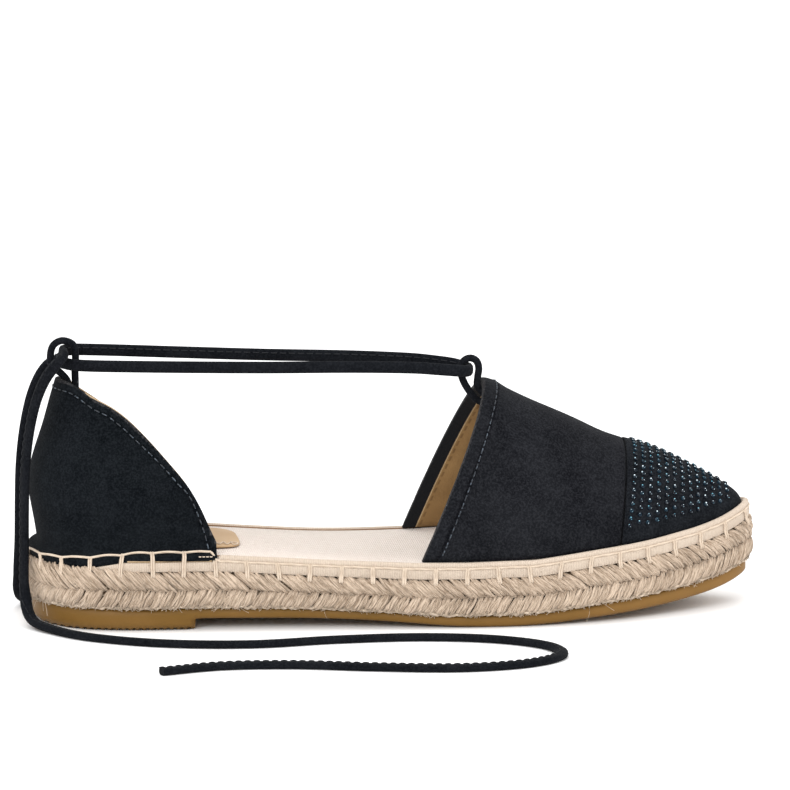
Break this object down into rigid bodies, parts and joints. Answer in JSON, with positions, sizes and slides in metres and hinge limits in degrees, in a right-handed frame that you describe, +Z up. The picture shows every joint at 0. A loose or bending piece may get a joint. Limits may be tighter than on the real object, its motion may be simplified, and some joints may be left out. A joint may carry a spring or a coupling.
{
  "type": "ankle-tie espadrille",
  "caption": "Flat ankle-tie espadrille: closed pointed-round toe and heel in dark suede, open sides, stone-set toe cap, braided jute sole with cream binding and gum outsole.",
  "frame": {"origin": "on the floor, under the middle of the sole's length and width", "axes": "+X towards the toe, +Y towards the big toe side, +Z up"},
  "size_m": [0.2623, 0.2105, 0.1008],
  "materials": {
    "gum_rubber": "satin gum",
    "braided_jute": "coarse braid",
    "cream_tape": "ribbed tape",
    "insole_canvas": "fine ribbed canvas",
    "tan_sock": "matte",
    "black_suede": "napped suede",
    "toe_cap_suede": "suede with small dark stones",
    "suede_lace": "stitched suede"
  },
  "bodies": {
    "root": {"outsole": "gum_rubber", "jute_midsole": "braided_jute", "edge_binding": "cream_tape", "insole": "insole_canvas", "heel_pad": "tan_sock", "vamp": "black_suede", "toe_cap": "toe_cap_suede", "counter": "black_suede", "throat_loop": "suede_lace", "heel_loop": "suede_lace", "tie_bars": "suede_lace", "tie_end_near": "suede_lace", "tie_end_far": "suede_lace"}
  },
  "joints": []
}
